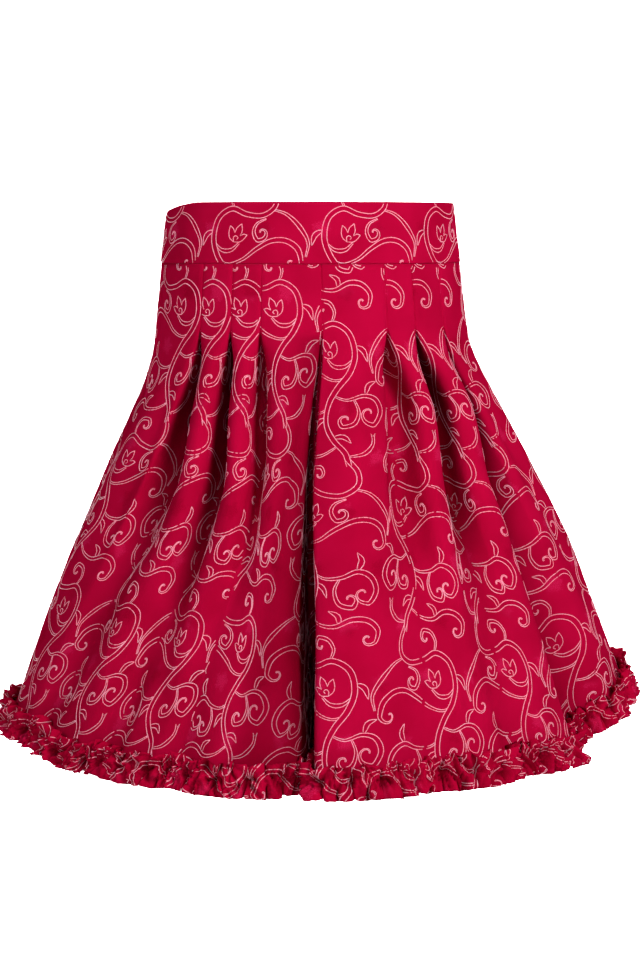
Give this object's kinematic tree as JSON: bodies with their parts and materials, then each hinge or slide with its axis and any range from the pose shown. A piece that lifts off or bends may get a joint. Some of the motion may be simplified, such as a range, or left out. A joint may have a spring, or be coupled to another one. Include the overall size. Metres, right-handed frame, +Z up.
{
  "type": "pleated kilt skirt",
  "caption": "Short pleated folk-dress kilt skirt, filled out as worn: deep waistband, pleats stitched flat over the hips, deep inverted centre-front pleat, gathered hem trim, back zip.",
  "frame": {"origin": "middle of the waist, halfway up the waistband, where the wearer holds the skirt up", "axes": "+Z up, -Y to the front, +X to the right as the front is looked at"},
  "size_m": [0.5906, 0.4856, 0.4947],
  "materials": {
    "brocade": "crimson brocade with fine pink-gold scroll lines, soft sheen",
    "ruching": "the same brocade, gathered into a narrow strip",
    "zip": "crimson lacquered metal"
  },
  "bodies": {
    "skirt": {"waistband_front": "brocade", "waistband_back_left": "brocade", "waistband_back_right": "brocade", "skirt_front": "brocade", "skirt_back_left": "brocade", "skirt_back_right": "brocade", "hem_ruffle": "ruching", "zip_slider": "zip"},
    "pull": {"zip_pull": "zip"}
  },
  "joints": [
    {"name": "pull_swing", "type": "hinge", "parent": "skirt", "child": "pull", "pos_m": [0, 0.10453, 0.0123], "axis": [1, 0, 0], "range_deg": [0, 165]}
  ]
}
